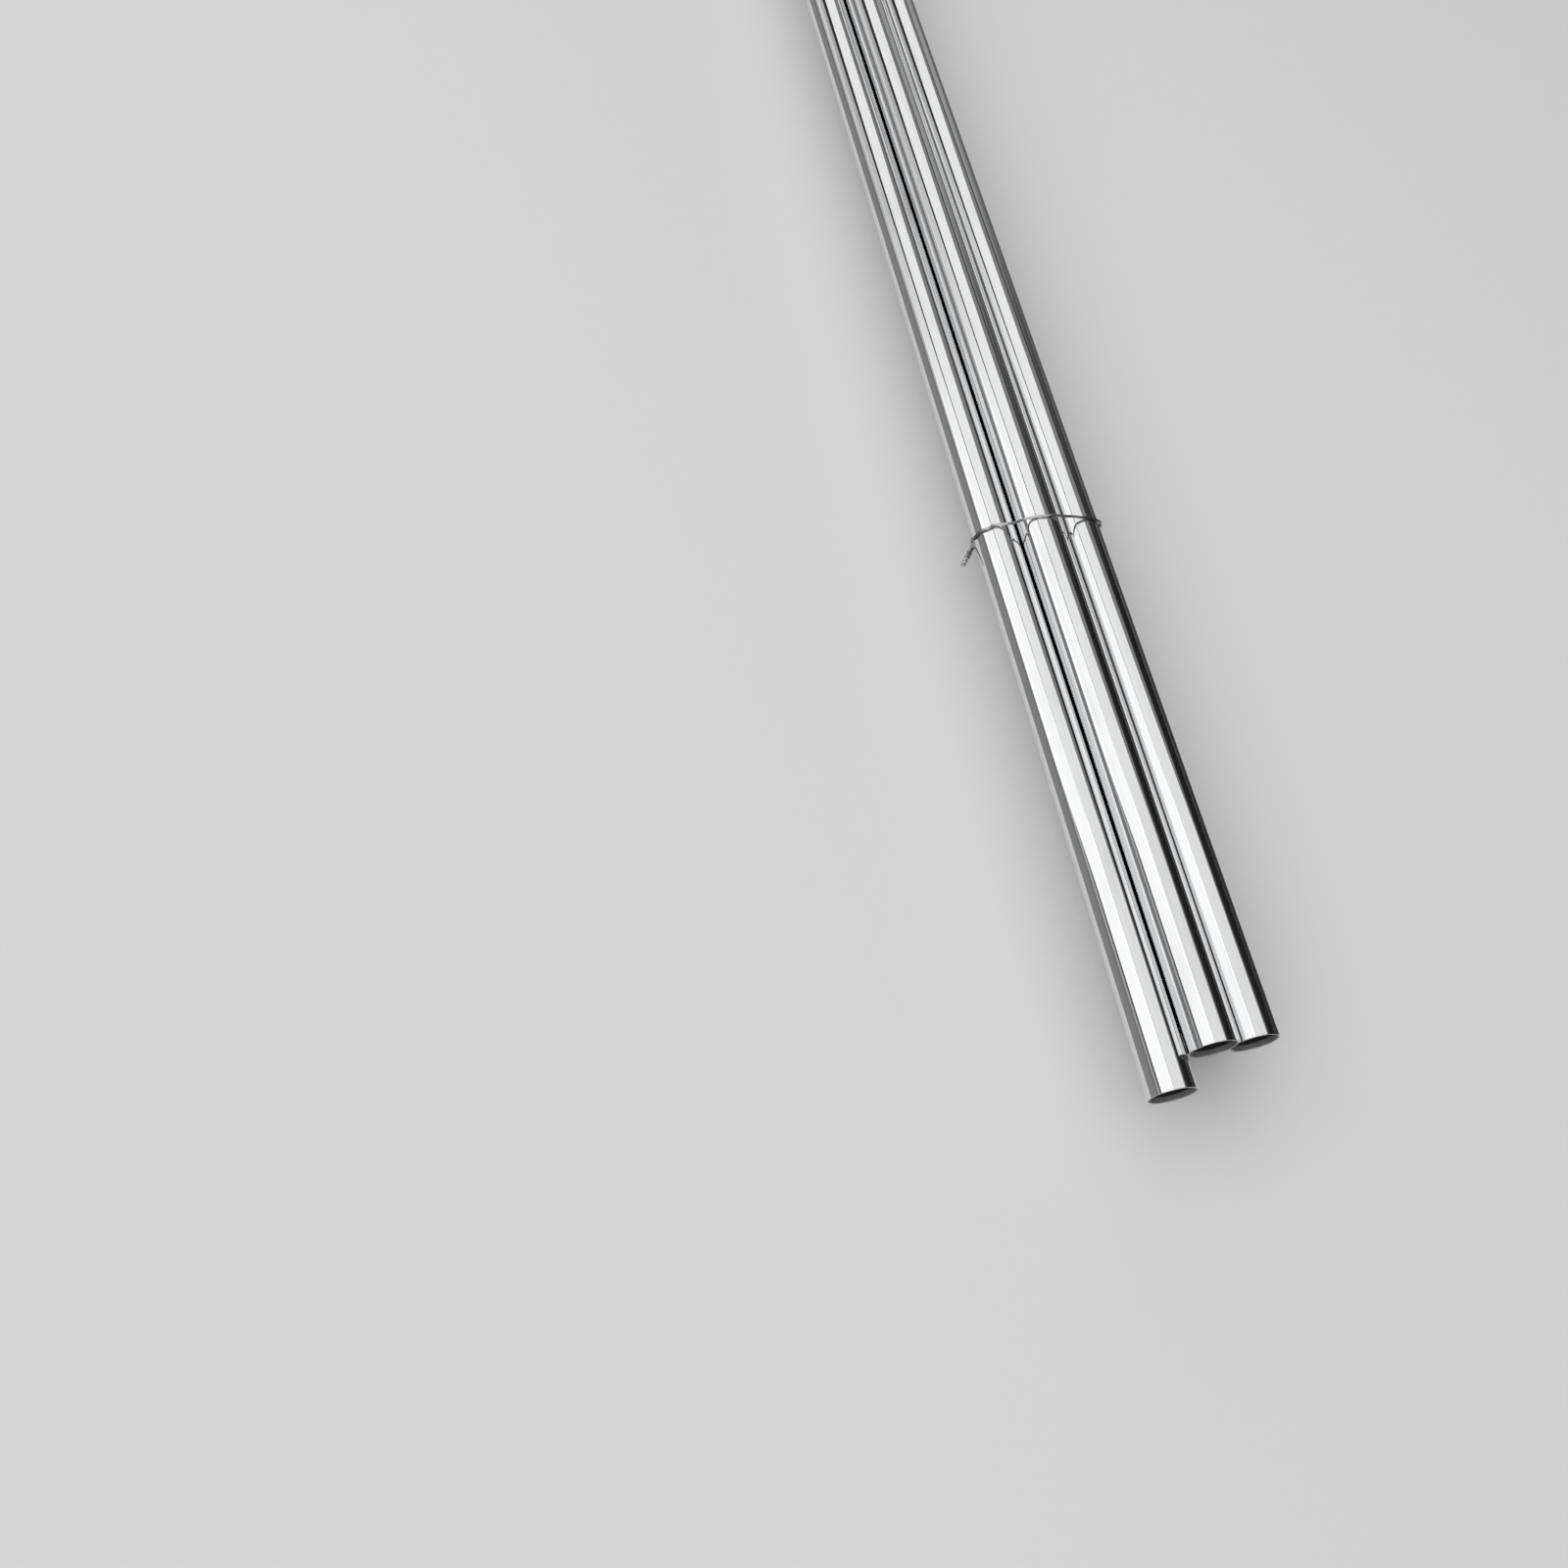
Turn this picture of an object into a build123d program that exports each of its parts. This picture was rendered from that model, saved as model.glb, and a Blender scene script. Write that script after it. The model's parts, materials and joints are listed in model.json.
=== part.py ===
"""Bundle of plain-ended galvanized steel conduit, held together by twisted tie wires.

Millimetres, +Z up. The conduits run along Y with their near ends at -Y, and the origin
is on the floor, under the middle of the bundle.
"""
from build123d import *
import math
import os

# Conduit
conduit_outer_diameter = 25.4
conduit_wall = 1.2
conduit_length = 3660.0
mouth_chamfer = 0.3

# Stacking: the conduits touch in a ring of five. The lower pair carries the outer two of the
# upper row, and the centre one is wedged between those, so it stands a little higher.
# The angle is the slope of the line from an outer axis of the upper row to the centre axis.
conduit_gap = 0.25
nest_angle = 17.0

# How far each conduit has slid along its neighbours, towards the far end
slide_along = {
    "left_bottom": 8.0,
    "left_top": -17.0,
    "centre_top": 0.0,
    "right_top": 1.0,
    "right_bottom": 17.0,
}

# Tie wires: a many-sided section and short straight runs stand for the round, bent wire
wire_diameter = 1.6
wire_clearance = 0.2
wire_sides = 12
longest_turn = 16.0
tie_from_end = 315.0
tie_skew = 3.0
tie_lean = 8.0

# Twisted tail of a tie wire
twist_turns = 2.0
twist_pitch = 5.6
twist_gap = 0.1
twist_lead = 5.0
twist_lean = 38.0
twist_droop = 4.0
twist_down_flank = 2.2
tail_bend_radius = 1.8
tail_spread = 1.7
shorter_end_by = 1
points_per_turn = 8

conduit_radius = conduit_outer_diameter / 2
wire_radius = wire_diameter / 2
pitch = conduit_outer_diameter + conduit_gap
tie_spacing = conduit_length / 2 - tie_from_end
bottom_axis_height = wire_diameter + wire_clearance + conduit_radius
loop_radius = conduit_radius + wire_clearance + wire_radius


def axis_places():
    """Conduit axes in the bundle's cross-section, clockwise from the lower left one."""
    low_reach = pitch / 2
    high_reach = pitch * math.cos(math.radians(nest_angle))
    outer_height = bottom_axis_height + math.sqrt(pitch**2 - (high_reach - low_reach) ** 2)
    centre_height = outer_height + pitch * math.sin(math.radians(nest_angle))
    return {
        "left_bottom": Vector(-low_reach, 0, bottom_axis_height),
        "left_top": Vector(-high_reach, 0, outer_height),
        "centre_top": Vector(0, 0, centre_height),
        "right_top": Vector(high_reach, 0, outer_height),
        "right_bottom": Vector(low_reach, 0, bottom_axis_height),
    }


def make_conduit():
    """One straight tube along Y, with the cut edges of both mouths broken."""
    ring = Circle(conduit_radius) - Circle(conduit_radius - conduit_wall)
    tube = extrude(Plane.XZ * ring, amount=conduit_length / 2, both=True)
    return chamfer(tube.edges().filter_by(GeomType.CIRCLE), mouth_chamfer)


def outward(start, end):
    """Normal that points out of the bundle, for a clockwise walk seen from the near end."""
    along = (end - start).normalized()
    return Vector(-along.Z, 0, along.X)


def skewed(point):
    """Move a point of the loop along the bundle, because the wire goes round it aslant.

    The loop is turned a little, and its lower side lies further from the near end.
    """
    crest = axis_places()["centre_top"].Z + loop_radius
    turned = point.X * math.tan(math.radians(tie_skew))
    leant = (crest - point.Z) * math.tan(math.radians(tie_lean))
    return point + Vector(0, leant - turned, 0)


def loop_corners():
    """Corners of the tight wire's outline, clockwise from the upper left conduit."""
    centres = list(axis_places().values())
    corners = []
    for index, centre in enumerate(centres):
        before = centres[index - 1]
        after = centres[(index + 1) % len(centres)]
        normal_in = outward(before, centre)
        normal_out = outward(centre, after)
        reach = loop_radius / (1 + normal_in.dot(normal_out))
        corners.append(centre + (normal_in + normal_out) * reach)
    return corners[1:] + corners[:1]


def loop_bends(corners, root):
    """The loop from its twist and back: short runs round each corner, then laid aslant."""
    through = [root] + corners + [root]
    points = []
    for before, corner, after in zip(through, through[1:], through[2:]):
        points += bend(before, corner, after, loop_radius)
    return [skewed(point) for point in points]


def twist_strand(root, phase, steps):
    """Points of one end of the wire as it winds round the other, from the loop outwards."""
    lean = math.radians(twist_lean)
    droop = math.radians(twist_droop)
    along = Vector(-math.sin(lean), -math.cos(lean) * math.cos(droop), -math.sin(droop))
    along = along.normalized()
    side = along.cross(Vector(0, 0, 1)).normalized()
    up = side.cross(along)
    step_angle = 2 * math.pi / points_per_turn
    corner_radius = (wire_radius + twist_gap / 2) / math.cos(step_angle / 2)
    points = []
    for step in range(steps + 1):
        angle = phase + step * step_angle
        distance = twist_lead + step * twist_pitch / points_per_turn
        around = up * math.cos(angle) + side * math.sin(angle)
        points.append(root + along * distance + around * corner_radius)
    return points


def bend(before, corner, after, radius):
    """Corners of short runs that all touch one arc, in place of a single sharp corner."""
    along_in = (corner - before).normalized()
    along_out = (after - corner).normalized()
    turn = math.radians(along_in.get_angle(along_out))
    inward = (along_out - along_in * math.cos(turn)).normalized()
    arc_start = corner - along_in * radius * math.tan(turn / 2)
    centre = arc_start + inward * radius
    count = math.ceil(turn / math.radians(longest_turn))
    corner_radius = radius / math.cos(turn / count / 2)
    points = []
    for index in range(count):
        angle = (index + 0.5) * turn / count
        spoke = along_in * math.sin(angle) - inward * math.cos(angle)
        points.append(centre + spoke * corner_radius)
    return points


def tie_path():
    """The whole wire at Y = 0: one twisted end, the loop round the bundle, the other end."""
    upper = axis_places()["left_top"]
    lower = axis_places()["left_bottom"]
    down_flank = (lower - upper).normalized()
    flank_place = upper + outward(lower, upper) * loop_radius + down_flank * twist_down_flank
    loop = loop_bends(loop_corners(), flank_place)
    root = skewed(flank_place)
    upper_corner = root - down_flank * tail_spread
    lower_corner = root + down_flank * tail_spread
    steps = round(twist_turns * points_per_turn)
    upper_end = twist_strand(root, 0, steps)
    lower_end = twist_strand(root, math.pi, steps - shorter_end_by)
    upper_bend = bend(upper_end[0], upper_corner, loop[0], tail_bend_radius)
    lower_bend = bend(loop[-1], lower_corner, lower_end[0], tail_bend_radius)
    return Polyline(*upper_end[::-1], *upper_bend, *loop, *lower_bend, *lower_end)


def make_tie():
    """Tie wire with its tail on the left flank."""
    path = tie_path()
    section = Plane(origin=path @ 0, z_dir=path % 0) * RegularPolygon(wire_radius, wire_sides)
    tie = sweep(section, path=path, transition=Transition.RIGHT)
    expected = section.area * path.length
    print("tie wire: length", round(path.length, 1), "volume", round(tie.volume, 1),
          "section times length", round(expected, 1))
    return tie


def save(solid, node):
    """Write one node of the bundle to its own file."""
    export_step(solid, os.path.join("parts", node + ".step"))


os.makedirs("parts", exist_ok=True)

conduit = make_conduit()
for name, axis in axis_places().items():
    place = axis + Vector(0, slide_along[name], 0)
    save(Pos(place) * conduit, f"conduit_{name}")

left_tie = make_tie()
right_tie = mirror(left_tie, about=Plane.YZ)
save(Pos(0, -tie_spacing, 0) * left_tie, "tie_wire_near")
save(right_tie, "tie_wire_middle")
save(Pos(0, tie_spacing, 0) * left_tie, "tie_wire_far")
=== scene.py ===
# %% [markdown]
# # A bundle of galvanized conduit
#
# Conduit is thin steel tube that electric cable is pulled through. It leaves the mill bright
# with zinc, and a few lengths at a time are tied together with soft wire. This file dresses
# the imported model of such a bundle: five conduits and three tie wires, all in metres, with
# the conduits along Y and the floor at Z = 0. Every cell makes one piece or one finish, and
# prints what it made.

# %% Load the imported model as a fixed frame
import bpy
import json
import math
import random
from mathutils import Matrix, Vector, noise


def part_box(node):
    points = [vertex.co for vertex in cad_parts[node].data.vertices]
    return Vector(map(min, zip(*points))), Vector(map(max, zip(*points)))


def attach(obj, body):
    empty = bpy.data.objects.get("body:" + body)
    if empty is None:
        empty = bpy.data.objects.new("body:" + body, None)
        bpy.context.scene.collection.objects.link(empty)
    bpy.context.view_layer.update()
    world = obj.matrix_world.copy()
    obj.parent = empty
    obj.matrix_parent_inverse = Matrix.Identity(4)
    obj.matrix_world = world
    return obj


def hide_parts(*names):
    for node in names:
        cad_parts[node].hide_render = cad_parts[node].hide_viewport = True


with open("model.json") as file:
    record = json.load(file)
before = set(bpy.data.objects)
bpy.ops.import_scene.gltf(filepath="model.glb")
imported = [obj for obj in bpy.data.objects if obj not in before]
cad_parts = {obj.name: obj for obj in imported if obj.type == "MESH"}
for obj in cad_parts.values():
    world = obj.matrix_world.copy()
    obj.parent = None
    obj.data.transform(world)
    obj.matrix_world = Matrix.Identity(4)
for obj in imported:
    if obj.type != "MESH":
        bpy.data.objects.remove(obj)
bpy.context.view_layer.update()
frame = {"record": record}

# %% [markdown]
# ## Where the photograph was taken from
#
# A camera is a place, a direction and a lens. The lens is given as a focal length on a 36 mm
# wide sensor, and a square picture uses the whole width of it. From the line of sight and
# the top of the picture come three directions at right angles, which are the columns of a
# rotation matrix: a Blender camera looks along its own -Z, with its own +Y up in the picture.

# %% Camera
camera_place = Vector((-0.2949, -2.0055, 0.7723))
looks_along = Vector((0.1417, 0.4333, -0.8900)).normalized()
picture_up = Vector((0.1513, 0.8791, 0.4521)).normalized()
sensor_width = 36.0
focal_length = 35.83


def camera_matrix(place, forward, up):
    """Place and turn of a camera that looks forward, with up at the top of the picture."""
    right = forward.cross(up).normalized()
    true_up = right.cross(forward)
    turn = Matrix((right, true_up, -forward)).transposed()
    return Matrix.Translation(place) @ turn.to_4x4()


camera_data = bpy.data.cameras.new("photo_camera")
camera_data.sensor_width = sensor_width
camera_data.lens = focal_length
camera = bpy.data.objects.new("photo_camera", camera_data)
camera.matrix_world = camera_matrix(camera_place, looks_along, picture_up)
bpy.context.scene.collection.objects.link(camera)
bpy.context.scene.camera = camera
bpy.context.scene.view_settings.view_transform = "Standard"
print("camera height above the floor:", round(camera_place.z, 3), "m")

# %% [markdown]
# ## Sums on sockets
#
# A shader is a small network of nodes. Written node by node it gets long, so this cell lets
# a socket be used like a number: `1 - mask` adds a Math node and gives back its output.

# %% A socket that can be added, subtracted and multiplied
class Signal:
    """An output socket that takes part in sums as a number does."""

    def __init__(self, graph, socket):
        self.graph = graph
        self.socket = socket

    def math(self, operation, first, second):
        settings = {"operation": operation}
        return self.graph.node("ShaderNodeMath", settings, {0: first, 1: second})

    def __add__(self, other):
        return self.math("ADD", self, other)

    def __radd__(self, other):
        return self.math("ADD", other, self)

    def __sub__(self, other):
        return self.math("SUBTRACT", self, other)

    def __rsub__(self, other):
        return self.math("SUBTRACT", other, self)

    def __mul__(self, other):
        return self.math("MULTIPLY", self, other)

    def __rmul__(self, other):
        return self.math("MULTIPLY", other, self)


print("sockets can be used in sums")

# %% [markdown]
# ## Any other node
#
# Every other node comes from `Graph.node`. It takes the node's type, then its settings, then
# the values or links of its sockets. The settings go first, because some of them decide which
# sockets the node has.

# %% The nodes of one material, lamp or world
class Graph:
    """The node tree of one material, lamp or world."""

    def __init__(self, owner):
        owner.use_nodes = True
        self.tree = owner.node_tree
        self.tree.nodes.clear()

    def node(self, kind, settings=None, inputs=None, output=0):
        """Add a node: its settings first, then the values or links of its sockets."""
        made = self.tree.nodes.new(kind)
        for name, value in (settings or {}).items():
            if name == "stops":
                set_stops(made.color_ramp, value)
            else:
                setattr(made, name, value)
        for name, value in (inputs or {}).items():
            if isinstance(value, Signal):
                self.tree.links.new(value.socket, made.inputs[name])
            else:
                made.inputs[name].default_value = value
        return Signal(self, made.outputs[output]) if made.outputs else None


def set_stops(ramp, stops):
    """Give a colour ramp these (position, grey) stops."""
    while len(ramp.elements) > 1:
        ramp.elements.remove(ramp.elements[-1])
    for index, (position, grey) in enumerate(stops):
        stop = ramp.elements[0] if index == 0 else ramp.elements.new(position)
        stop.position = position
        stop.color = (grey, grey, grey, 1)


print("nodes can be made")

# %% [markdown]
# ## Helpers for every graph
#
# The finishes and lamps share a few small things. A Map Range node set to Smoothstep is the
# shortest mask with an eased slope, and a sum takes a number from one value to another as a
# mask rises. Separate XYZ takes a vector apart, and a Vector Math node stretches one. A Color
# Ramp gives a grey that goes through any number of stops.

# %% Eased masks, parts of a vector, stretched vectors and ramps
def eased(graph, value, low, high):
    """0 below low, 1 above high, with an eased slope between them."""
    limits = {"Value": value, "From Min": low, "From Max": high}
    return graph.node("ShaderNodeMapRange", {"interpolation_type": "SMOOTHSTEP"}, limits)


def part_of(graph, vector, letter):
    """The X, Y or Z of a vector socket."""
    return graph.node("ShaderNodeSeparateXYZ", inputs={0: vector}, output="XYZ".index(letter))


def between(share, first, second):
    """The first number where share is 0, the second where it is 1."""
    return first + share * (second - first)


def stretched(graph, vector, factors):
    """The vector with each part multiplied by its own factor."""
    return graph.node("ShaderNodeVectorMath", {"operation": "MULTIPLY"}, {0: vector, 1: factors})


def ramped(graph, value, stops):
    """A grey that follows the (position, grey) stops as the value goes from 0 to 1."""
    return graph.node("ShaderNodeValToRGB", {"stops": stops}, {0: value})


print("masks and ramps are ready")

# %% [markdown]
# ## Light for a mirror
#
# Bright zinc shows little of itself. What it shows is the room, drawn out into bands along
# each tube, so the lights are shaped for their reflections and not for the shadows. Softboxes
# are area lamps, which a rough or a mirror surface sees as bright panels.
#
# Angles are measured from straight overhead, in degrees, positive towards +X. A softbox is a
# flat panel between two of them, so a place on it follows from a tangent.

# %% Places on a softbox
softbox_distance = 2.6
softbox_length = 14.0
softbox_middle_y = 0.5


def half_angle_and_middle(span):
    """Half the angle between the two sides of a softbox, and its middle, in radians."""
    return math.radians(span[1] - span[0]) / 2, math.radians(sum(span) / 2)


def place_along(y):
    """Where y lies on a softbox, from 0 at its near end to 1 at its far end."""
    return (y - softbox_middle_y) / softbox_length + 0.5


def place_across(angle, span):
    """Where an angle lies on a softbox, from 0 at its left side to 1 at its right side."""
    half_angle, middle = half_angle_and_middle(span)
    return 0.5 + 0.5 * math.tan(math.radians(angle) - middle) / math.tan(half_angle)


print("softboxes are", softbox_length, "m long, centred on y", softbox_middle_y, "m")

# %% [markdown]
# ## A glow with slanting edges
#
# The brightness of a lamp can come from nodes, as a surface's colour does. The Parametric
# output of the Geometry node says where on the panel a ray arrives, so one panel can have
# edges that slant along the bundle and an end that fades. A ramp along the panel holds where
# its edge is, and an eased mask across the panel lights one side of that edge.

# %% Glow of a softbox
edge_softness = 0.004


def edged_glow(lamp, span, level, along, left_edge, right_edge, left_over=0.0):
    """Light a panel between two edges.

    The list along holds (y, brightness) pairs, and the two edge lists hold (y, angle) pairs.
    The share left_over of the brightness stays beyond the right edge.
    """
    graph = Graph(lamp)
    here = graph.node("ShaderNodeNewGeometry", output="Parametric")
    across = part_of(graph, here, "X")
    lengthwise = part_of(graph, here, "Y")
    dim = ramped(graph, lengthwise, [(place_along(y), grey) for y, grey in along])
    left_stops = [(place_along(y), place_across(angle, span)) for y, angle in left_edge]
    right_stops = [(place_along(y), place_across(angle, span)) for y, angle in right_edge]
    past_left = across - ramped(graph, lengthwise, left_stops)
    before_right = ramped(graph, lengthwise, right_stops) - across
    lit_left = eased(graph, past_left, 0.0, edge_softness)
    lit_right = eased(graph, before_right, 0.0, edge_softness)
    shine = dim * lit_left * between(lit_right, left_over, 1) * level
    glow = graph.node("ShaderNodeEmission", inputs={"Strength": shine})
    graph.node("ShaderNodeOutputLight", inputs={0: glow})


print("edges are soft over", edge_softness, "of a panel")

# %% [markdown]
# ## The panel
#
# A lamp's power is spread over its area and over all directions, so pi times the area makes a
# panel of brightness 1, and the glow's own level is then what a perfect mirror would show.
# The panel faces the bundle, and the camera looks through it.

# %% A softbox between two angles
def softbox(name, span, **glow):
    """A long panel over the bundle, with a glow between two edges."""
    half_angle, middle = half_angle_and_middle(span)
    lamp = bpy.data.lights.new(name, "AREA")
    lamp.shape = "RECTANGLE"
    lamp.size = 2 * softbox_distance * math.tan(half_angle)
    lamp.size_y = softbox_length
    lamp.energy = math.pi * lamp.size * lamp.size_y
    edged_glow(lamp, span, **glow)
    panel = bpy.data.objects.new(name, lamp)
    direction = Vector((math.sin(middle), 0, math.cos(middle)))
    centre = direction * softbox_distance + Vector((0, softbox_middle_y, 0))
    panel.matrix_world = camera_matrix(centre, -direction, Vector((0, 1, 0)))
    panel.visible_camera = False
    bpy.context.scene.collection.objects.link(panel)
    print(name, "is", round(lamp.size, 2), "m wide")


print("a softbox hangs", softbox_distance, "m from the bundle")

# %% [markdown]
# ## Two softboxes and the gap between them
#
# The photograph's tubes carry a sharp white band on their left shoulder, a light grey band
# over the crest, a thin grey line between the two that opens towards the far end, and a
# short mid-grey step before the black flank. So there is a bright panel to the left, a paler
# one overhead that keeps a fifth of its brightness beyond its right edge, and their facing
# edges part slowly.

# %% Window and overhead softboxes
softbox(
    "window_softbox",
    span=(-76, -4),
    level=1.13,
    along=[(-0.9, 1.0), (-0.3, 0.97), (0.4, 0.94), (1.05, 0.6), (1.7, 0.38)],
    left_edge=[(-0.9, -62), (-0.3, -74), (0.4, -74), (1.1, -66)],
    right_edge=[(-0.7, -10), (0.0, -19), (0.7, -29), (1.5, -34), (2.2, -36)],
)
softbox(
    "overhead_softbox",
    span=(-26, 50),
    level=0.96,
    along=[(-0.85, 0.88), (-0.3, 0.94), (0.4, 1.0), (1.8, 0.97)],
    left_edge=[(-0.6, -12), (0.1, -17), (1.0, -24), (1.9, -23), (2.6, -18)],
    right_edge=[(-0.8, 44), (-0.2, 33), (0.2, 27), (1.2, 28), (1.9, 36)],
    left_over=0.21,
)

# %% [markdown]
# ## The room
#
# Below the softboxes the tubes see the room: pale walls low down, and darkness overhead,
# which leaves the panels as the only bright things up there. The world's Generated
# coordinate is the direction that a ray leaves in, so a mask on its Z paints walls and
# ceiling without any geometry: that Z is 0 at the horizon and 1 overhead. The camera sees a
# backdrop of one plain grey instead, because a Light Path node tells its rays from the ones
# that the tubes mirror.

# %% Room
wall_level = 0.54
wall_top = 0.2
ceiling_level = 0.03
ceiling_start = 0.45
backdrop_level = 0.58

world = bpy.data.worlds.new("room")
bpy.context.scene.world = world
room = Graph(world)
facing = room.node("ShaderNodeTexCoord", output="Generated")
height = part_of(room, facing, "Z")
upwards = eased(room, height, wall_top, ceiling_start)
mirrored = between(upwards, wall_level, ceiling_level)
to_camera = room.node("ShaderNodeLightPath", output="Is Camera Ray")
level = between(to_camera, mirrored, backdrop_level)
sky = room.node("ShaderNodeBackground", inputs={"Color": (1, 1, 1, 1), "Strength": level})
room.node("ShaderNodeOutputWorld", inputs={0: sky})
print("walls of", wall_level, "in the tubes, a backdrop of", backdrop_level, "in the picture")

# %% [markdown]
# ## Sheets of the studio
#
# The floor and the cards beside the bundle are flat rectangles, so one helper makes them all
# from four corners.

# %% A sheet
def sheet(name, corners, finish):
    """A flat sheet of the studio, which is no part of the bundle."""
    mesh = bpy.data.meshes.new(name)
    mesh.from_pydata(corners, [], [(0, 1, 2, 3)])
    mesh.materials.append(finish)
    made = bpy.data.objects.new(name, mesh)
    bpy.context.scene.collection.objects.link(made)
    return made


print("sheets can be laid out")

# %% [markdown]
# ## The floor
#
# The floor is one large plain sheet. Beyond an oval round the bundle it turns into the
# backdrop, as a photographer's curved paper does, so no view shows an edge. A Mix Shader
# leads from the matt floor to a glow, which for the camera is the backdrop's grey and for the
# tubes is that of the walls.

# %% Floor
floor_size = 40.0
floor_grey = 0.8
backdrop_from = 0.8
backdrop_to = 1.7
backdrop_oval = 0.45


def floor_paint():
    """Matt grey near the bundle, backdrop farther out."""
    paint = bpy.data.materials.new("pale_floor")
    graph = Graph(paint)
    place = graph.node("ShaderNodeTexCoord", output="Object")
    oval = stretched(graph, place, (1, backdrop_oval, 1))
    away = graph.node("ShaderNodeVectorMath", {"operation": "LENGTH"}, {0: oval}, output="Value")
    grey = (floor_grey, floor_grey, floor_grey, 1)
    matt = graph.node("ShaderNodeBsdfDiffuse", inputs={"Color": grey})
    to_camera = graph.node("ShaderNodeLightPath", output="Is Camera Ray")
    mirrored = graph.node("ShaderNodeEmission", inputs={"Strength": wall_level})
    seen = graph.node("ShaderNodeEmission", inputs={"Strength": backdrop_level})
    backdrop = graph.node("ShaderNodeMixShader", inputs={0: to_camera, 1: mirrored, 2: seen})
    share = eased(graph, away, backdrop_from, backdrop_to)
    both = graph.node("ShaderNodeMixShader", inputs={0: share, 1: matt, 2: backdrop})
    graph.node("ShaderNodeOutputMaterial", inputs={0: both})
    return paint


half = floor_size / 2
floor_corners = [(-half, -half, 0), (half, -half, 0), (half, half, 0), (-half, half, 0)]
sheet("floor", floor_corners, floor_paint())
print("floor is", floor_size, "m wide")

# %% [markdown]
# ## Cards beside the bundle
#
# A dark flank needs something dark to reflect. Photographers of silver and chrome put cards
# just out of the picture, and these do the same. A dark one stands to the right, which gets
# paler farther away as the flanks do in the photograph, and a grey one to the left. Two more
# lie beside the bundle, so that its outer edges stand out from the pale floor. Only
# reflections see the cards: they throw no shadow, and the camera looks through them.

# %% A card
card_ends = (-7.0, 8.0)


def card_cloth(name, stops):
    """Matt cloth whose grey changes along Y, given as (y, grey) stops."""
    cloth = bpy.data.materials.new(name)
    graph = Graph(cloth)
    near_y, far_y = card_ends
    length = far_y - near_y
    place = graph.node("ShaderNodeTexCoord", output="Object")
    share = (part_of(graph, place, "Y") - near_y) * (1 / length)
    grey = ramped(graph, share, [((y - near_y) / length, value) for y, value in stops])
    matt = graph.node("ShaderNodeBsdfDiffuse", inputs={"Color": grey})
    graph.node("ShaderNodeOutputMaterial", inputs={0: matt})
    return cloth


def card(name, start, end, stops):
    """A card between two (x, z) edges that run along the whole bundle."""
    near_y, far_y = card_ends
    corners = [(start[0], near_y, start[1]), (start[0], far_y, start[1])]
    corners += [(end[0], far_y, end[1]), (end[0], near_y, end[1])]
    made = sheet(name, corners, card_cloth(name + "_cloth", stops))
    made.visible_camera = False
    made.visible_diffuse = False
    made.visible_shadow = False
    print(name, "from", start, "to", end)


print("cards reach from y", card_ends[0], "to", card_ends[1], "m")

# %% [markdown]
# ## Where the cards go
#
# A standing card is given by how far out it is, and by the angle from overhead that its top
# reaches, since that angle is where its reflection on a tube ends. A lying card is given by
# the two places across the bundle that it lies between.

# %% Four cards
card_foot = 0.01
lying_height = 0.0005


def standing_card(name, x, top_angle, stops):
    """A card that reaches up to an angle from overhead, as seen from the bundle."""
    top = abs(x / math.tan(math.radians(top_angle)))
    card(name, (x, card_foot), (x, round(top, 3)), stops)


def lying_card(name, near_x, far_x, stops):
    """A card flat beside the bundle, just off the floor."""
    card(name, (near_x, lying_height), (far_x, lying_height), stops)


dark_then_paler = [(-0.4, 0.02), (0.3, 0.12), (0.9, 0.5)]
right_floor_greys = [(-1.6, 0.05), (-1.2, 0.16), (0, 0.3)]
plain_grey = [(0, 0.3)]
standing_card("dark_card", x=2.0, top_angle=58, stops=dark_then_paler)
standing_card("grey_card", x=-2.4, top_angle=-77, stops=plain_grey)
lying_card("left_floor_card", near_x=-0.092, far_x=-2.3, stops=plain_grey)
lying_card("right_floor_card", near_x=0.078, far_x=1.9, stops=right_floor_greys)

# %% [markdown]
# ## Where each conduit lies
#
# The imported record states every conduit's bore as a mount, with its axis and radius, and the
# frame gives each node's box. Reading the places from there, and not writing them again,
# keeps the dressed tubes exactly on the modelled ones.

# %% Where each conduit lies
conduit_wall = 0.0012
conduits = {}
for mount in frame["record"]["mounts"]:
    node = mount["name"].replace("bore_", "conduit_")
    low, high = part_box(node)
    x, _, z = mount["pos_m"]
    conduits[node] = {"axis": Vector((x, 0, z)), "near": low.y, "far": high.y}
bore_radius = frame["record"]["mounts"][0]["dims"]["r_mm"] / 1000
conduit_radius = bore_radius + conduit_wall
print(len(conduits), "conduits, radius", conduit_radius)

# %% [markdown]
# ## The edge of a mouth
#
# The cut edges have a small radius, because the mill breaks them so that they don't strip
# the cable. A Bevel modifier could round them on the finished tube. The tube is turned from
# an outline here, so it is simpler to put a quarter circle of a few points at each corner.

# %% Rounded edge
edge_round = 0.0003
edge_steps = 4


def rounded_edge(y, radius, along, outwards):
    """Quarter circle from the cut face at y to the wall at radius, as (y, radius) pairs."""
    points = []
    for step in range(edge_steps + 1):
        angle = step / edge_steps * math.pi / 2
        inset = edge_round * (1 - math.sin(angle))
        drop = edge_round * (1 - math.cos(angle))
        points.append((y + along * drop, radius - outwards * inset))
    return points


print("edges are rounded by", edge_round, "m in", edge_steps, "steps")
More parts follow.
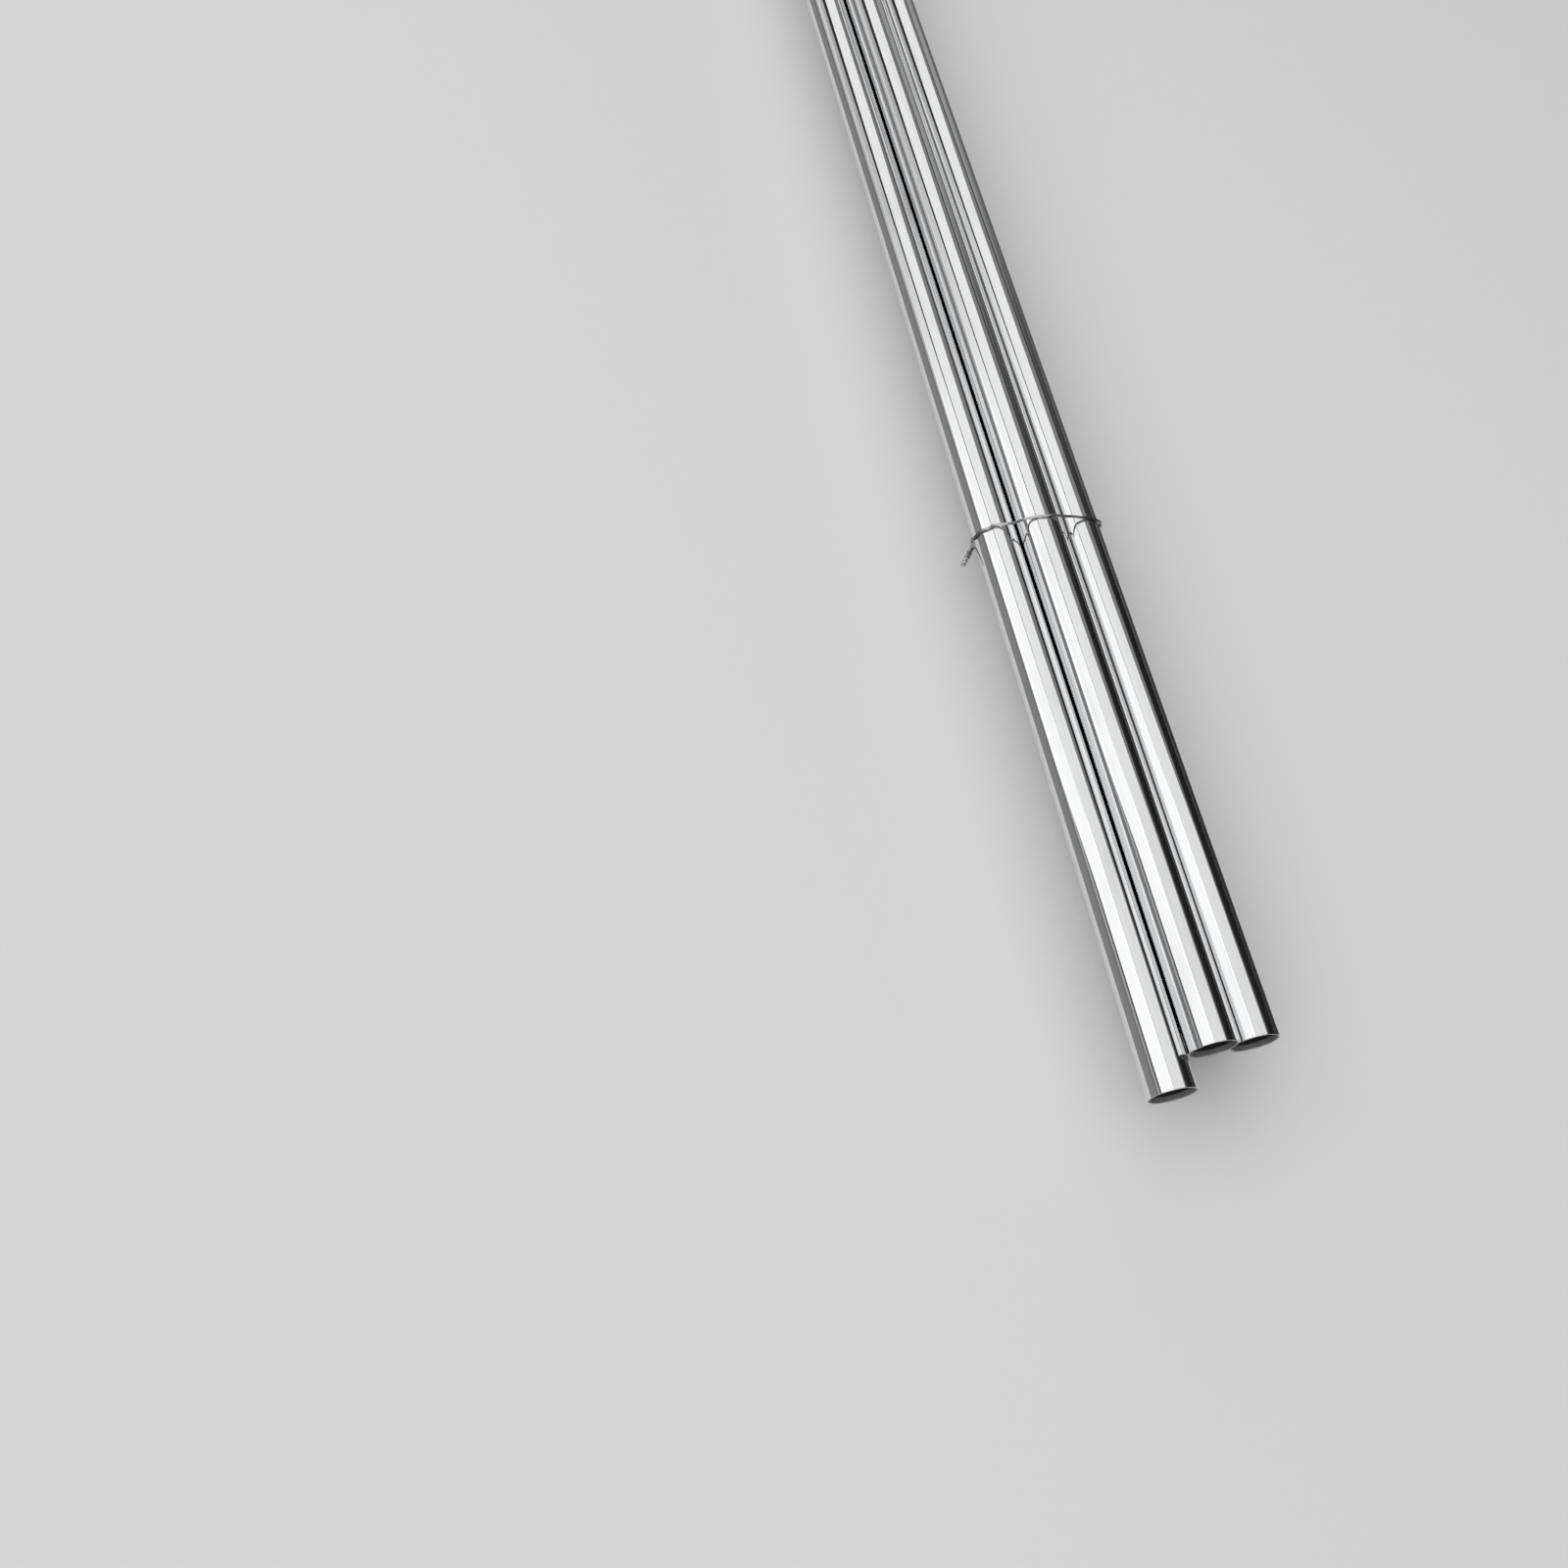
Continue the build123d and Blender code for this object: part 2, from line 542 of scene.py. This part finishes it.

# %% [markdown]
# ## The tube's outline
#
# A length of conduit is one outline turned about its axis: along the outside, round the cut
# edge, back through the bore. Each stretch remembers its zone (outside, bore, cut edge or
# lip), which later picks its finish. The outer rounding keeps the zinc, which gives every
# mouth a thin bright line. The lip is the start of the bore, which is left out of the painted
# shade deeper in.

# %% Outline of one wall
body_rings = 24
lip_depth = 0.0028
OUTSIDE, BORE, CUT, LIP = 0, 1, 2, 3


def conduit_outline(near, far):
    """Once round the wall as (y, radius) pairs, and the zone of each step between them."""
    outside_near = rounded_edge(near, conduit_radius, 1, 1)
    outside_far = rounded_edge(far, conduit_radius, -1, 1)
    bore_near = rounded_edge(near, bore_radius, 1, -1)
    bore_far = rounded_edge(far, bore_radius, -1, -1)
    start, end = outside_near[-1][0], outside_far[-1][0]
    rings = [start + (end - start) * ring / body_rings for ring in range(1, body_rings)]
    outside = [(y, conduit_radius) for y in rings]
    inside = [(y, bore_radius) for y in [far - lip_depth] + rings[::-1] + [near + lip_depth]]
    outline = outside_near + outside + outside_far[::-1] + bore_far + inside + bore_near[::-1]
    outer_zones = [OUTSIDE] * (edge_steps + body_rings + edge_steps)
    bore_zones = [LIP] + [BORE] * body_rings + [LIP]
    edge_zones = [CUT] * edge_steps
    return outline, outer_zones + [CUT] + edge_zones + bore_zones + edge_zones + [CUT]


sample_outline, sample_zones = conduit_outline(near=-1.0, far=1.0)
print(len(sample_outline), "points once round the wall,", len(sample_zones), "steps")

# %% [markdown]
# ## Faces between rings
#
# Tubes and wire are both made of rings of corners, and a band of four-sided faces joins each
# ring to the next. Writing a mesh as lists of corners and faces keeps every ring where it
# should be. A face looks to the side from which its corners run anticlockwise, so the order
# of the two rings decides whether a band looks out of the piece or into it.

# %% Band of faces
def band(here, following, count):
    """Faces from one ring of corners to another, each ring given by its first corner."""
    faces = []
    for step in range(count):
        beside = (step + 1) % count
        faces.append((here + step, here + beside, following + beside, following + step))
    return faces


print("two rings of 4 corners make the faces", band(0, 4, 4))

# %% [markdown]
# ## Turning the outline into rings
#
# The outline is repeated round the axis, so that each of its points becomes a ring. A Screw
# modifier would do the same, but then the weld bead could not be raised. Conduit is rolled
# from strip and welded along one line, and inside the bore the bead of that weld stays.

# %% Rings of a tube
around_steps = 128
bead_height = 0.00025
bead_width = 0.0009


def bead(angle, seam_angle):
    """How far the weld bead stands into the bore at an angle round the axis."""
    off = (angle - seam_angle + math.pi) % (2 * math.pi) - math.pi
    return bead_height * math.exp(-(off * bore_radius / bead_width) ** 2)


def tube_rings(axis, outline, seam_angle):
    """Corners of the wall, ring by ring, with a low weld bead along the bore."""
    middle_of_wall = (bore_radius + conduit_radius) / 2
    vertices = []
    for y, radius in outline:
        for step in range(around_steps):
            angle = 2 * math.pi * step / around_steps
            reach = radius - (bead(angle, seam_angle) if radius < middle_of_wall else 0)
            across = axis.x + reach * math.cos(angle)
            up = axis.z + reach * math.sin(angle)
            vertices.append((across, y, up))
    return vertices


print("a tube's rings have", around_steps, "corners each")

# %% [markdown]
# ## The tube's wall
#
# The outline ends where it started, so the last ring is joined to the first one. That closes
# the wall, and the tube is a solid piece of steel with a bore through it. Seen from the far
# end, the corners of a ring run clockwise, so each band goes from the following ring back to
# this one: then its faces look out of the steel. Every face keeps the zone of its band, which
# picks one of the tube's four finishes.

# %% Tube mesh
def conduit_mesh(name, axis, near, far, seam_angle):
    """Tube with a real wall, rounded cut edges and a low weld bead along the bore."""
    outline, zones = conduit_outline(near, far)
    faces = []
    face_zones = []
    for row, zone in enumerate(zones):
        following = (row + 1) % len(outline)
        faces += band(following * around_steps, row * around_steps, around_steps)
        face_zones += [zone] * around_steps
    mesh = bpy.data.meshes.new(name)
    mesh.from_pydata(tube_rings(axis, outline, seam_angle), [], faces)
    mesh.polygons.foreach_set("material_index", face_zones)
    mesh.polygons.foreach_set("use_smooth", [True] * len(faces))
    mesh.validate()
    return mesh


print("each tube has", len(sample_zones) * around_steps, "faces")

# %% [markdown]
# ## Noise that follows the rolling
#
# The strip runs lengthwise through the rolls and the zinc bath, so every mark on it is drawn
# out along Y. Multiplying one part of the coordinates by less than 1 before a Noise Texture
# draws the noise out that way: a small factor on Y makes long streaks. So each noise of this
# file is written down as its three factors, its features a metre, and its detail.

# %% Noise
def noise_at(graph, place, factors, scale, detail):
    """Cloudy noise around 0.5, drawn out along the parts whose factor is small."""
    sockets = {"Vector": stretched(graph, place, factors), "Scale": scale, "Detail": detail}
    return graph.node("ShaderNodeTexNoise", inputs=sockets)


print("noises are ready")

# %% [markdown]
# ## One surface for each finish
#
# Zinc, enamel, bare steel and wire are all greys with a trace of blue. What tells them apart
# is how rough they are, and how that changes from place to place. So a finish is written as a
# painter, which is a function that gives the sockets of one Principled surface their values.
# A Mix node goes from one grey to another, because a Math node would lose the blue. Its
# sockets for colours are inputs 6 and 7 and output 2. A Bump shows marks that are too fine
# for the mesh.

# %% Greys, bumps and a surface
steel_tint = (1.0, 1.004, 1.012)


def steel_grey(value):
    """A grey with the faint blue of zinc and steel."""
    red, green, blue = steel_tint
    return (value * red, value * green, value * blue, 1)


def grey_between(graph, share, first, second):
    """A steel grey that is the first value where share is 0, and the second where it is 1."""
    sockets = {0: share, 6: steel_grey(first), 7: steel_grey(second)}
    return graph.node("ShaderNodeMix", {"data_type": "RGBA"}, sockets, output=2)


def bump(graph, height, depth):
    """A Normal that lets the light see this height, which goes up to depth metres."""
    return graph.node("ShaderNodeBump", inputs={"Height": height, "Distance": depth})


def finish(name, paint, **inputs):
    """A material of one Principled surface, whose sockets the painter and inputs set."""
    material = bpy.data.materials.new(name)
    graph = Graph(material)
    place = graph.node("ShaderNodeTexCoord", output="Object")
    sockets = {**inputs, **paint(graph, place)}
    surface = graph.node("ShaderNodeBsdfPrincipled", inputs=sockets)
    graph.node("ShaderNodeOutputMaterial", inputs={0: surface})
    return material


print("zinc, enamel and steel share the tint", steel_tint)

# %% [markdown]
# ## Bright zinc
#
# The outside is a mirror that has been through rollers and hands. Three things tell it from
# chrome. Fine lines along the tube blur the reflections a little, a faint bloom dulls it in
# patches, and the wall isn't quite round or straight, so the edges of the bands wander a
# little. The first two are Roughness and Base Color, and the last is a Bump with a height of
# a few hundredths of a millimetre over several centimetres.

# %% Zinc
fine_lines = ((1, 0.004, 1), 900, 3.0)
roller_streaks = ((1, 0.02, 1), 160, 2.0)
bloom_clouds = ((1, 0.3, 1), 60, 4.0)
wall_waves = ((1, 0.12, 1), 35, 1.0)
line_slope = (0.35, 0.75)
bloom_slope = (0.5, 0.75)
line_dulling = 0.35
streak_dulling = 0.4
bloom_dulling = 0.4
line_height = 0.003
streak_height = 0.03
wave_depth = 0.00005
zinc_greys = (0.86, 0.72)
zinc_roughness = (0.045, 0.105)


def paint_zinc(graph, place):
    """A mirror with fine lines, streaks and a bloom in patches, on a wall that waves."""
    lines = noise_at(graph, place, *fine_lines)
    streaks = noise_at(graph, place, *roller_streaks)
    bloom = eased(graph, noise_at(graph, place, *bloom_clouds), *bloom_slope)
    waves = noise_at(graph, place, *wall_waves)
    worn = eased(graph, lines, *line_slope)
    dullness = worn * line_dulling + streaks * streak_dulling + bloom * bloom_dulling
    return {
        "Base Color": grey_between(graph, dullness, *zinc_greys),
        "Roughness": between(dullness, *zinc_roughness),
        "Normal": bump(graph, waves + streaks * streak_height + lines * line_height, wave_depth),
    }


zinc = finish("bright_zinc", paint_zinc, Metallic=1.0)
print("made", zinc.name)

# %% [markdown]
# ## Enamel in the bore, with painted shade
#
# Conduit has a thin enamel inside, which lets the cable slide and keeps out rust. Deeper
# than the first few millimetres the bore is painted almost black, as painted shade inside the
# tube, which is why the mouths look almost black. The lip keeps a paler grey, so each mouth
# has a dark crescent over a paler lower lip. One painter makes both: a coat without any metal
# in it, with streaks that follow the bore.

# %% Bore enamel, painted darker deep inside as painted shade
enamel_streaks = ((1, 0.05, 1), 400, 3.0)
enamel_roughness = (0.22, 0.38)


def enamel_between(darkest, palest):
    """A painter of slightly glossy enamel whose streaks lie between two greys."""
    def paint(graph, place):
        streaks = noise_at(graph, place, *enamel_streaks)
        return {
            "Base Color": grey_between(graph, streaks, darkest, palest),
            "Roughness": between(streaks, *enamel_roughness),
        }
    return paint


# The deep bore is painted almost black as painted shade, and the lip keeps a paler grey.
shaded_enamel = finish("bore_enamel_painted_shade", enamel_between(darkest=0.015, palest=0.035))
lip_enamel = finish("lip_enamel", enamel_between(darkest=0.12, palest=0.24))
print("made", shaded_enamel.name, "and", lip_enamel.name)

# %% [markdown]
# ## The cut edge
#
# The saw leaves bare steel. It is duller and darker than zinc, with fine marks across the
# wall, all in one direction as the blade went through. A noise drawn out along X makes those
# marks, and a Bump a hundredth of a millimetre deep lets them catch the light.

# %% Cut steel
saw_marks = ((0.12, 1, 1), 2600, 2.0)
saw_depth = 0.00001
cut_greys = (0.36, 0.22)
cut_roughness = (0.28, 0.42)


def paint_cut(graph, place):
    """Bare steel with the marks of the saw."""
    marks = noise_at(graph, place, *saw_marks)
    return {
        "Base Color": grey_between(graph, marks, *cut_greys),
        "Roughness": between(marks, *cut_roughness),
        "Normal": bump(graph, marks, saw_depth),
    }


cut_steel = finish("cut_steel", paint_cut, Metallic=1.0)
print("made", cut_steel.name)

# %% [markdown]
# ## Placing the conduits
#
# Each tube replaces the plain solid of the same name and rides on the bundle's one body. The
# weld bead lies at a random angle, since nobody turns the lengths to match. The seed makes
# those angles the same every time.

# %% Make the conduits
weld_seed = 7
random.seed(weld_seed)


def add_piece(name, mesh, finishes, node):
    """Put a dressed piece in the scene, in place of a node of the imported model."""
    for material in finishes:
        mesh.materials.append(material)
    piece = bpy.data.objects.new(name, mesh)
    bpy.context.scene.collection.objects.link(piece)
    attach(piece, "root")
    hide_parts(node)


for node, where in conduits.items():
    seam_angle = random.uniform(0, 2 * math.pi)
    mesh = conduit_mesh(node + "_tube", where["axis"], where["near"], where["far"], seam_angle)
    finishes = [zinc, shaded_enamel, cut_steel, lip_enamel]
    add_piece(node + "_tube", mesh, finishes, node)
    print(node, "weld at", round(math.degrees(seam_angle)), "degrees")

# %% [markdown]
# ## How a tie wire runs
#
# Soft wire goes once round the bundle, straight from crest to crest and bent round each
# tube. Its two ends meet on a flank, cross, and are twisted round each other into a short
# tail with a pair of pliers. The wire lies a little aslant and leans back, as hand-tied wire
# does. The sizes below are the bundle's own, in metres. Only the wire itself is drawn a hair
# thinner than the radius it is seated at, so that the dressed tie stays inside the box of the
# modelled one.

# %% Tie wire measures
wire_radius = 0.000785
wire_seat = 0.0008
wire_clearance = 0.0002
tie_from_end = 0.315
tie_skew = math.radians(3)
tie_lean = math.radians(8)
twist_turns = 2.0
twist_pitch = 0.0056
twist_gap = 0.0001
twist_lead = 0.005
twist_lean = math.radians(38)
twist_droop = math.radians(4)
twist_down_flank = 0.0022
tail_bend_radius = 0.0018
tail_spread = 0.0017
shorter_end_by = 1 / 8
loop_radius = conduit_radius + wire_clearance + wire_seat
tied_conduit = conduits["conduit_left_top"]
tie_spacing = (tied_conduit["far"] - tied_conduit["near"]) / 2 - tie_from_end
print("ties are", round(tie_spacing, 3), "m apart, along the bundle")

# %% [markdown]
# ## Bends between straight runs
#
# Bent wire is made of straight runs and arcs. Given the corner where two runs would meet and
# a radius, the arc's points follow from the angle between the runs. Short steps of five
# degrees are fine enough to look round.

# %% Bend
bend_step = math.radians(5)


def bend(before, corner, after, radius):
    """Points on the arc that rounds a corner between two straight runs."""
    along_in = (corner - before).normalized()
    along_out = (after - corner).normalized()
    turn = along_in.angle(along_out)
    inward = (along_out - along_in * math.cos(turn)).normalized()
    centre = corner - along_in * radius * math.tan(turn / 2) + inward * radius
    count = max(2, math.ceil(turn / bend_step))
    points = []
    for index in range(count + 1):
        angle = turn * index / count
        spoke = along_in * math.sin(angle) - inward * math.cos(angle)
        points.append(centre + spoke * radius)
    return points


def outward(start, end):
    """Normal that points out of the bundle, for a clockwise walk seen from the near end."""
    along = (end - start).normalized()
    return Vector((-along.z, 0, along.x))


print("bends step by", round(math.degrees(bend_step)), "degrees")

# %% [markdown]
# ## Once round the bundle
#
# A tight wire follows the outline of the five tubes: seen from the end, it is the pentagon
# of their axes moved outwards by one radius. Its corners come from the normals of the two
# sides that meet there. Last, every point is moved along Y, by its X for the slant and by
# its depth below the crest for the lean.

# %% Loop
def loop_corners():
    """Corners of the tight wire's outline, clockwise from the upper left conduit."""
    walk = ["left_bottom", "left_top", "centre_top", "right_top", "right_bottom"]
    centres = [conduits["conduit_" + place]["axis"] for place in walk]
    corners = []
    for index, centre in enumerate(centres):
        after = centres[(index + 1) % len(centres)]
        normals = outward(centres[index - 1], centre), outward(centre, after)
        reach = loop_radius / (1 + normals[0].dot(normals[1]))
        corners.append(centre + (normals[0] + normals[1]) * reach)
    return corners[1:] + corners[:1]


def skewed(point):
    """Move a point of the loop along the bundle, because the wire goes round it aslant."""
    crest = conduits["conduit_centre_top"]["axis"].z + loop_radius
    turned = point.x * math.tan(tie_skew)
    leant = (crest - point.z) * math.tan(tie_lean)
    return point + Vector((0, leant - turned, 0))


print(len(loop_corners()), "corners in the loop")

# %% [markdown]
# ## The twisted tail
#
# Two strands that wind round each other are two helices about one line, half a turn apart.
# Each step moves along the line by a share of the pitch and round it by the same share of a
# turn. The line leaves the flank towards the near end and outwards, as in the photograph.

# %% Twisted strand
steps_a_turn = 18


def twist_strand(root, phase, turns):
    """One end of the wire as it winds round the other, from the loop outwards."""
    along = Vector((
        -math.sin(twist_lean),
        -math.cos(twist_lean) * math.cos(twist_droop),
        -math.sin(twist_droop),
    )).normalized()
    side = along.cross(Vector((0, 0, 1))).normalized()
    up = side.cross(along)
    points = []
    for step in range(round(turns * steps_a_turn) + 1):
        angle = phase + step / steps_a_turn * 2 * math.pi
        distance = twist_lead + step / steps_a_turn * twist_pitch
        around = up * math.cos(angle) + side * math.sin(angle)
        points.append(root + along * distance + around * (wire_seat + twist_gap / 2))
    return points


print("a tail has", twist_turns, "turns")

# %% [markdown]
# ## The whole wire
#
# The wire comes in along one strand of the tail, takes a tight bend, goes once round the
# bundle, and leaves through a second bend along the other strand. That one starts half a
# turn later, and is snipped a little shorter, as two ends never match.

# %% Path of a tie
def tie_path():
    """The whole wire at Y = 0: one twisted end, the loop round the bundle, the other end."""
    upper = conduits["conduit_left_top"]["axis"]
    lower = conduits["conduit_left_bottom"]["axis"]
    down_flank = (lower - upper).normalized()
    flank = upper + outward(lower, upper) * loop_radius + down_flank * twist_down_flank
    through = [flank] + loop_corners() + [flank]
    loop = []
    for before, corner, after in zip(through, through[1:], through[2:]):
        loop += bend(before, corner, after, loop_radius)
    loop = [skewed(point) for point in loop]
    root = skewed(flank)
    upper_end = twist_strand(root, 0, twist_turns)
    lower_end = twist_strand(root, math.pi, twist_turns - shorter_end_by)
    upper_corner = root - down_flank * tail_spread
    lower_corner = root + down_flank * tail_spread
    upper_bend = bend(upper_end[0], upper_corner, loop[0], tail_bend_radius)
    lower_bend = bend(loop[-1], lower_corner, lower_end[0], tail_bend_radius)
    return upper_end[::-1] + upper_bend, loop, lower_bend + lower_end


print("the path has", len(tie_path()[1]), "points in its loop")

# %% [markdown]
# ## The hand of whoever tied it
#
# Wire pulled tight by hand is never quite straight: it wanders along the tubes by up to a
# millimetre. A smooth noise along the wire's length gives that. It only shifts points along
# Y, so the wire still lies on the tubes, and it fades out towards the twist, where the two
# strands have to stay clear of each other.

# %% A wandering loop
longest_run = 0.0015
wander = 0.0016
wander_length = 0.010
calm_length = 0.008


def divided(points):
    """The same path with extra points on its long straight runs."""
    path = [points[0]]
    for start, end in zip(points, points[1:]):
        count = max(1, math.ceil((end - start).length / longest_run))
        path += [start.lerp(end, index / count) for index in range(1, count + 1)]
    return path


def hand_tied(loop, seed):
    """Let the loop wander along the tubes, but not at its two ends."""
    length = longest_run * len(loop)
    moved = []
    for index, point in enumerate(loop):
        travelled = longest_run * index
        calm = min(1, travelled / calm_length, (length - travelled) / calm_length)
        sway = noise.noise(Vector((travelled / wander_length, seed, 0)))
        moved.append(point + Vector((0, sway * wander * calm, 0)))
    return moved


print("divided, the loop has", len(divided(tie_path()[1])), "points")

# %% [markdown]
# ## Round wire along a path
#
# A curve with a round bevel would make wire too, but it may turn its section between one
# point and the next and pinch at tight bends. Here each ring is turned from the one before it
# by the smallest rotation that follows the path. The last rings are flattened, because side
# cutters squeeze soft wire to a chisel edge as they snip it.

# %% Rings of a wire
wire_around = 16
snip_length = 0.0009
snip_share = 0.3


def squeeze(path, index):
    """How much of the wire's thickness is left near a snipped end."""
    from_end = min((path[index] - path[0]).length, (path[index] - path[-1]).length)
    return min(1, snip_share + (1 - snip_share) * from_end / snip_length)


def wire_rings(path):
    """Corners of a circle swept along the path, which turns as little as it can on the way."""
    tangents = []
    for index in range(len(path)):
        before = path[max(index - 1, 0)]
        after = path[min(index + 1, len(path) - 1)]
        tangents.append((after - before).normalized())
    normal = tangents[0].orthogonal().normalized()
    vertices = []
    for index, (point, tangent) in enumerate(zip(path, tangents)):
        if index:
            normal = tangents[index - 1].rotation_difference(tangent) @ normal
        normal = (normal - tangent * normal.dot(tangent)).normalized()
        other = tangent.cross(normal) * squeeze(path, index)
        for step in range(wire_around):
            angle = 2 * math.pi * step / wire_around
            spoke = normal * math.cos(angle) + other * math.sin(angle)
            vertices.append(point + spoke * wire_radius)
    return vertices


print("the last", snip_length, "m of a wire is squeezed to", snip_share, "of its thickness")

# %% [markdown]
# ## The wire's ends
#
# Bands join the wire's rings as they do a tube's, but here they go forwards, and the last ring
# isn't joined to the first. One face closes each end instead. Only those two are shaded flat,
# so the snipped ends stay crisp while the wire looks round.

# %% Wire mesh
def wire_mesh(name, path):
    """Wire along a path, closed by a flat face at each end."""
    faces = []
    for row in range(len(path) - 1):
        here = row * wire_around
        faces += band(here, here + wire_around, wire_around)
    last = (len(path) - 1) * wire_around
    faces.append(tuple(reversed(range(wire_around))))
    faces.append(tuple(range(last, last + wire_around)))
    mesh = bpy.data.meshes.new(name)
    mesh.from_pydata(wire_rings(path), [], faces)
    mesh.polygons.foreach_set("use_smooth", [True] * (len(faces) - 2) + [False] * 2)
    return mesh


print("a wire ring has", wire_around, "corners")

# %% [markdown]
# ## Annealed wire
#
# Tying wire is annealed, so that it bends without springing back. It still shines, but the
# pliers and the bends leave it duller and greyer in patches. Two noises do it: broad patches
# for the dull places and a fine grain in the Bump.

# %% Wire finish
dull_patches = ((1, 1, 1), 110, 3.0)
wire_grain = ((1, 1, 1), 3000, 2.0)
dull_slope = (0.44, 0.6)
grain_depth = 0.00001
grain_roughness = 0.05
wire_greys = (0.54, 0.2)
wire_roughness = (0.12, 0.3)


def paint_wire(graph, place):
    """Grey wire that is bright in some places and dull in others."""
    dull = eased(graph, noise_at(graph, place, *dull_patches), *dull_slope)
    grain = noise_at(graph, place, *wire_grain)
    return {
        "Base Color": grey_between(graph, dull, *wire_greys),
        "Roughness": between(dull, *wire_roughness) + grain * grain_roughness,
        "Normal": bump(graph, grain, grain_depth),
    }


wire_steel = finish("annealed_wire", paint_wire, Metallic=1.0)
print("made", wire_steel.name)

# %% [markdown]
# ## Placing the ties
#
# The same path serves three times. The middle tie is tied from the other side, so its path is
# mirrored, and a mirrored path is also walked backwards, or its faces would look inwards.
# Each tie wanders by its own piece of the noise. The loop is divided together with the last
# point of one end and the first of the other, so that no gap is left beside the bends.

# %% Make the ties
tie_places = [
    ("tie_wire_near", -tie_spacing, 1),
    ("tie_wire_middle", 0, -1),
    ("tie_wire_far", tie_spacing, 1),
]
for seed, (node, y, side) in enumerate(tie_places):
    upper_end, loop, lower_end = tie_path()
    loop = hand_tied(divided(upper_end[-1:] + loop + lower_end[:1])[1:-1], seed)
    path = upper_end + loop + lower_end
    path = [Vector((side * point.x, point.y + y, point.z)) for point in path]
    mesh = wire_mesh(node + "_wire", path[::side])
    add_piece(node + "_wire", mesh, [wire_steel], node)
    print(node, len(path), "points")
